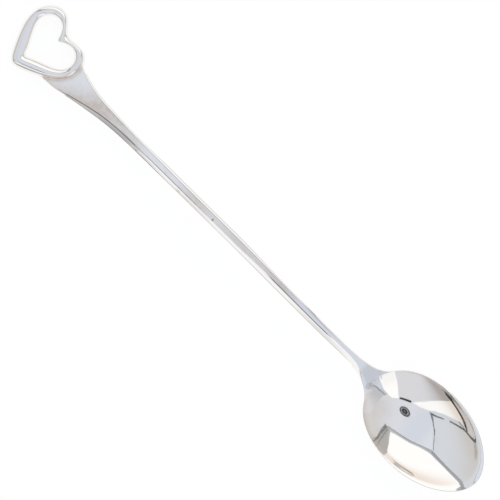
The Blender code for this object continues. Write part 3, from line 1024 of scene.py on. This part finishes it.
tentSheets = {  # corners, two tints, the line from one to the other, the horizon's tint, its distance if another
    "roof": (((-14, -14), (14, -14), (14, 14), (-14, 14)),
        ((0.75, 0.77, 0.84), (0.69, 0.675, 0.67)), ((0.5, 0.1), (2.0, 1.2)), (0.62, 0.57, 0.53)),
    "left_sky": (((1.6, 0.09), (14, 0.8), (14, 12), (2.2, 1.8), (1.7, 0.9)),
        ((0.56, 0.57, 0.61), (0.73, 0.72, 0.74)), ((2.0, 0.2), (1.7, 1.3)), (0.66, 0.64, 0.63)),
    "roof_cool": (((0.45, -0.42), (0.16, -0.63), *edges["roof"], (0.27, 0.64), (0.45, 0.6)),
        ((0.74, 0.76, 0.83), (0.69, 0.73, 0.82)), ((0.45, 0.0), (0.22, 0.0)), (0.69, 0.73, 0.82)),
    "roof_bright": (((0.1, -0.56), *edges["roof"], (0.1, 0.53)),
        ((0.69, 0.73, 0.82), (0.75, 0.785, 0.86)), ((0.1, 0.0), (-0.25, 0.0)), (0.78, 0.80, 0.85)),
    "roof_back": (((0.16, -0.63), (-0.42, 0.13), (-1.36, 0.24), (-14, 1.6), (-14, -14), (-4, -4), (-1.9, -2.5),
         *edges["back"]),
        ((0.70, 0.735, 0.79), (0.63, 0.605, 0.59)), ((-0.5, 0.0), (-2.0, -1.2)), (0.50, 0.46, 0.44)),
    "side_strip": (((0.39, -0.49), (0.16, -0.63), *edges["back"][::-1], (-1.25, -2.35), *edges["strip"]),
        ((0.68, 0.72, 0.77), (0.60, 0.61, 0.63)), ((0.2, -0.8), (-1.0, -2.3)), (0.52, 0.48, 0.46)),
    "side_window": (((0.55, -0.43), *edges["side"], (-5, -14), (-1.15, -3.4), (-1.05, -2.75),
         *edges["strip"], (0.39, -0.49)),
        ((1.04, 1.04, 1.04), (0.82, 0.74, 0.68)), ((0.3, -0.9), (-0.5, -2.8)), (0.60, 0.54, 0.49)),
    "side_low": (((1.3, -6.7), (0.7, -6.5), (0.1, -5.4), (-0.8, -4.25), (-1.15, -3.5), (-1.05, -2.75), (-1.15, -2.25),
         (-1.9, -2.5), (-4, -4), (-14, -14), (4, -14)),
        ((0.58, 0.53, 0.49), (0.66, 0.62, 0.60)), ((0.0, -6.0), (-3.0, -4.0)), (0.60, 0.56, 0.53)),
    "side_wall": (((0.9, -0.26), (0.74, -0.35), (0.57, -0.43), *edges["side"], (14, -14), *edges["end"][::-1]),
        ((0.73, 0.735, 0.78), (0.43, 0.395, 0.38)), ((0.04, 0.03), (-1.07, -0.74)), (0.58, 0.55, 0.53), (5.0, 9.0)),
    "end_window": (((0.9, -0.21), *edges["end"], (14, -0.65), (2.1, -0.09), (1.38, -0.04), (1.1, -0.06)),
        ((1.08, 1.08, 1.08), (1.0, 1.0, 1.0)), ((1.2, -0.2), (3.0, -1.0)), (1.0, 1.0, 1.0)),
    "tongue": (((1.38, -0.05), (2.0, -0.1), (2.86, -0.24), (3.3, -0.55), (14, -3.4), (14, 0.75), (2.45, 0.13),
         (1.5, 0.08)),
        ((0.56, 0.59, 0.64), (0.66, 0.70, 0.78)), ((1.4, 0.0), (2.4, 0.0)), (0.66, 0.70, 0.78)),
    "corner_wall": (((0.68, 0.87), (0.54, 0.94), *edges["corner"], (6, 14), (1.28, 2.8), (0.78, 0.97)),
        ((0.47, 0.46, 0.45), (0.48, 0.455, 0.435)), ((0.7, 1.2), (1.2, 4.0)), (0.55, 0.49, 0.455)),
    "far_window": ((*edges["far"], (-14, 14), *edges["corner"][::-1]),
        ((1.08, 1.08, 1.08), (0.96, 0.87, 0.80)), ((-0.4, 1.6), (-2.0, 2.6)), (0.92, 0.83, 0.76), (2.8, 4.8)),
    "rail": (((0.68, 0.87), (0.27, 0.64), (-0.08, 0.42), (-0.42, 0.16), (-0.89, 0.2), (-1.36, 0.25), (-14, 1.6),
         *edges["far"][::-1]),
        ((0.53, 0.55, 0.57), (0.45, 0.46, 0.485)), ((0.1, 0.5), (-0.7, 0.2)), (0.48, 0.48, 0.50)),
}
tentBars = {  # path, width at its points or all along, tint
    "seam": (((0.16, -0.62), (0.07, -0.49), (-0.07, -0.35), (-0.18, -0.26), (-0.28, -0.15), (-0.42, 0.13)),
        (0.05, 0.045, 0.035, 0.03, 0.02, 0.02), (0.16, 0.17, 0.18)),
    "cord_near": (((0.18, -0.6), (0.08, -0.7), (-0.15, -0.92)), (0.07, 0.055, 0.05), (0.10, 0.11, 0.12)),
    "cord_far": (((-0.34, -1.14), (-0.7, -1.54), (-1.2, -2.15)), (0.07, 0.09, 0.14), (0.12, 0.12, 0.13)),
    "cord_end": (((-1.2, -2.15), (-1.6, -2.44), (-2.05, -2.8), (-3, -3.6)), (0.16, 0.24, 0.3, 0.3),
        (0.12, 0.12, 0.13)),
    "panel_edge": (((-2.22, -2.7), (-2.05, -2.2), (-1.97, -1.75), (-1.9, -1.2)), 0.11, (0.38, 0.35, 0.33)),
    "strip_edge": (((-0.74, -2.05), (-0.92, -2.15), (-1.09, -2.25), (-1.25, -2.26)), 0.1, (0.12, 0.12, 0.13)),
    "clip": (((0.88, -0.245), (0.73, -0.33), (0.585, -0.42)), 0.085, (0.03, 0.03, 0.03)),
    "foot_bar": (((1.1, -6.5), (0.65, -6.1), (0.15, -4.75), (-0.37, -4.3), (-0.8, -3.95), (-1.16, -3.6),
        (-1.38, -3.1), (-1.44, -2.45)), (0.8, 0.8, 0.95, 0.95, 0.85, 0.75, 0.5, 0.15), (0.05, 0.05, 0.05)),
    "tongue_edge": (((1.5, 0.08), (2.45, 0.13), (6, 0.34)), 0.05, (0.34, 0.34, 0.36)),
    "corner_post": (((0.72, 0.89), (0.95, 1.8), (1.18, 2.7), (2.8, 7.5)), 0.11, (0.22, 0.22, 0.22)),
    "corner_post_low": (((0.64, 0.97), (0.8, 1.8), (1.02, 2.75), (2.2, 7.5)), 0.05, (0.28, 0.27, 0.26)),
    "rail_edge": (((0.67, 0.86), (0.27, 0.64), (-0.08, 0.42), (-0.42, 0.17), (-0.89, 0.21), (-1.36, 0.26),
        (-6, 0.75)), 0.03, (0.26, 0.27, 0.29)),
    "rail_core": (((-0.42, 0.24), (-0.9, 0.29), (-1.36, 0.36), (-6, 1.2)), 0.08, (0.34, 0.35, 0.38)),
    "low_streak": (((0.15, 5.45), (-0.75, 5.05), (-1.55, 4.6)), 1.2, (0.45, 0.40, 0.36)),
}


# a material that only glows; paint gives its colour, or the socket that carries it
def glowing(name, paint):
    material, tree = newMaterial(name)
    tree.nodes.clear()
    glow = addNode(tree, "Emission", {"Color": paint(tree)})
    addNode(tree, "OutputMaterial", {"Surface": glow.outputs[0]})
    return material


# glow of a sheet: one tint to another along a line, going to a third towards the horizon
def sheetGlow(name, tints, line, horizon, low=tent["low"]):
    start, end = np.array(line)

    def paint(tree):
        def smooth(value, first, last):
            ends = {"Value": value, "From Min": first, "From Max": last}
            return addNode(tree, "MapRange", ends, interpolation_type="SMOOTHSTEP").outputs[0]

        place = addNode(tree, "TexCoord").outputs["Object"]
        shifted = vectorMath(tree, "SUBTRACT", place, (*tent["middle"], tent["height"]))[0]
        scaled = vectorMath(tree, "MULTIPLY", shifted, (1 / tent["height"],) * 3)[0]
        along = vectorMath(tree, "DOT_PRODUCT", scaled, (*(end - start), 0))["Value"]
        run = smooth(along, float(start @ (end - start)), float(end @ (end - start)))
        blend = tinted(tree, run, *((*tint, 1) for tint in tints))
        reach = vectorMath(tree, "LENGTH", scaled)["Value"]
        return tinted(tree, smooth(reach, *low), blend, (*horizon, 1))

    return glowing(name, paint)


def plainGlow(name, tint):
    return glowing(name, lambda tree: (*tint, 1))


# stage meshes are seen only in the silver; a low one throws no shade on the floor
def addStage(name, points, faces, material, shades=True):
    mesh = bpy.data.meshes.new(name)
    mesh.from_pydata(np.asarray(points).tolist(), [], faces)
    mesh.materials.append(material)
    panel = addObject(name, mesh)
    panel.visible_camera = False
    panel.visible_diffuse = panel.visible_shadow = shades


# a level sheet of any outline
def hang(name, corners, height, material, shades=True):
    plan = np.array(corners, dtype=float) * height + np.array(tent["middle"])
    addStage("tent_" + name, lifted(plan, height), [tuple(range(len(plan)))], material, shades)


# a bar's outline: its path moved half its width, one or one for each point, to either side
def barCorners(path, width):
    path = np.array(path, dtype=float)
    heading = headings(path)
    sideways = np.stack((-heading[:, 1], heading[:, 0]), axis=-1) * np.reshape(width, (-1, 1)) / 2
    return np.vstack((path + sideways, (path - sideways)[::-1]))


# the camera's dark front glass, hung low: a disc with paler rings
lensDetail = {
    "place": (0.49, -0.03), "radius": 0.125, "height": 0.2, "sides": 48, "blue": 1.05,
    "rings": (  # share of the radius, and level
        (0.0, 0.10), (0.16, 0.22), (0.24, 0.03), (0.52, 0.03), (0.60, 0.45), (0.70, 0.40), (0.78, 0.04), (1.0, 0.05),
    ),
}


def paintLens(tree):
    d = lensDetail
    middle = np.array(d["place"]) * d["height"] + np.array(tent["middle"])
    place = addNode(tree, "TexCoord").outputs["Object"]
    away = vectorMath(tree, "DISTANCE", place, (*middle, d["height"]))["Value"]
    ring = addNode(tree, "MapRange", {"Value": away, "From Max": d["radius"] * d["height"]}).outputs[0]
    ramp = addNode(tree, "ValToRGB", {"Fac": ring})
    while len(ramp.color_ramp.elements) < len(d["rings"]):
        ramp.color_ramp.elements.new(0.5)
    for element, (where, level) in zip(ramp.color_ramp.elements, d["rings"]):
        element.position = where
        element.color = (level, level, level * d["blue"], 1)
    return ramp.outputs["Color"]


# low hem all round, darker upwards, with a dark strip on it to either side of the stem: walls on a circle, seen as
# thin lines in the bevels
hemDetail = {
    "radius": 0.45,
    "sides": 64,
    "bands": (  # bottom, top, tint, and between which directions
        ("hem_foot", 0.001, 0.012, (0.85, 0.85, 0.85), (0, 360)),
        ("hem_low", 0.012, 0.024, (0.70, 0.69, 0.69), (0, 360)),
        ("hem", 0.024, 0.042, (0.52, 0.51, 0.515), (0, 360)),
        ("hem_left", 0.042, 0.075, (0.24, 0.24, 0.25), (-125, -78)),
        ("hem_right", 0.042, 0.075, (0.36, 0.36, 0.37), (82, 125)),
    ),
}


def addHem(name, bottom, top, tint, span):
    h = hemDetail
    turn = np.radians(np.linspace(*span, h["sides"] + 1))
    circle = np.stack((np.cos(turn), np.sin(turn)), axis=-1) * h["radius"]
    points = np.vstack((lifted(circle, bottom), lifted(circle, top)))
    index = np.arange(h["sides"])
    faces = np.column_stack((index, index + 1, index + len(turn) + 1, index + len(turn))).tolist()
    addStage("tent_" + name, points, faces, plainGlow("tent_" + name, tint), shades=False)


for band in hemDetail["bands"]:
    addHem(*band)
for layer, (name, (corners, *look)) in enumerate(tentSheets.items()):
    hang(name, corners, tent["height"] - layer * tent["layer"], sheetGlow("tent_" + name, *look))
barHeight = tent["height"] - tent["barLayer"] * tent["layer"]
for name, (path, width, tint) in tentBars.items():
    hang(name, barCorners(path, width), barHeight, plainGlow("tent_" + name, tint))
turn = onceRound(lensDetail["sides"])
disc = np.stack((np.cos(turn), np.sin(turn)), axis=-1) * lensDetail["radius"] + np.array(lensDetail["place"])
hang("lens", disc, lensDetail["height"], glowing("lens_glass", paintLens), shades=False)
print("tent hung:", len(tentSheets), "sheets,", len(tentBars), "bars")

world = bpy.data.worlds.new("soft_studio")
world.use_nodes = True
world.node_tree.nodes["Background"].inputs["Color"].default_value = (1, 1, 1, 1)
bpy.context.scene.world = world
bpy.context.scene.view_settings.view_transform = "Standard"
